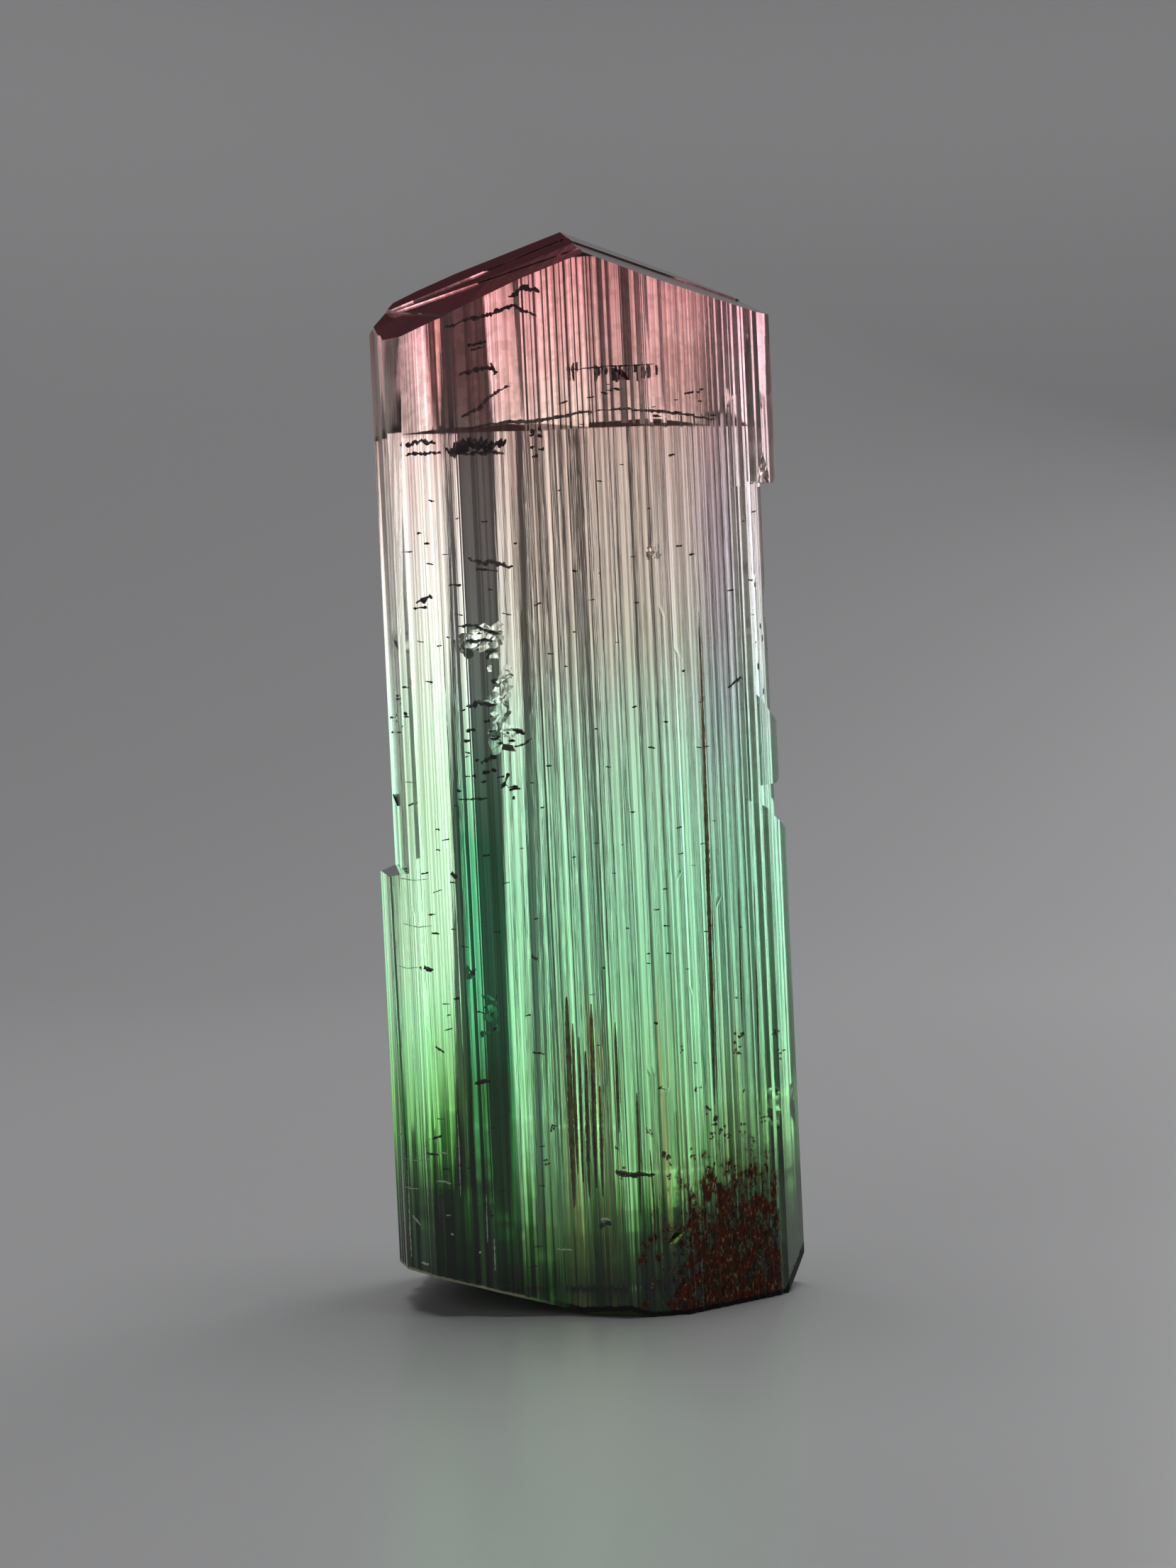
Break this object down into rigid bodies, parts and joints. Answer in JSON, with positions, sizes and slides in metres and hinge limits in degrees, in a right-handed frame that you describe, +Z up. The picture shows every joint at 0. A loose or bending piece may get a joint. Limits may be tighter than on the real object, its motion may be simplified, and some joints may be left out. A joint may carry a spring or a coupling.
{
  "type": "tourmaline crystal",
  "caption": "Free-standing tourmaline crystal: a striated rounded prism, pink above and green below, with a low faceted point, growth ledges, chipped edges and a broken foot that it stands on",
  "frame": {"origin": "middle of the bounding box, at the level of the foot it stands on", "axes": "+Z up along the crystal's length, +Y away from the viewer of its best side, +X to that viewer's right"},
  "size_m": [0.0215, 0.0178, 0.0518],
  "materials": {
    "tourmaline": "vitreous, clear to translucent, rose pink at the point through pale grey to green at the foot, with rust stain near the foot"
  },
  "bodies": {
    "root": {"crystal": "tourmaline"}
  },
  "joints": []
}
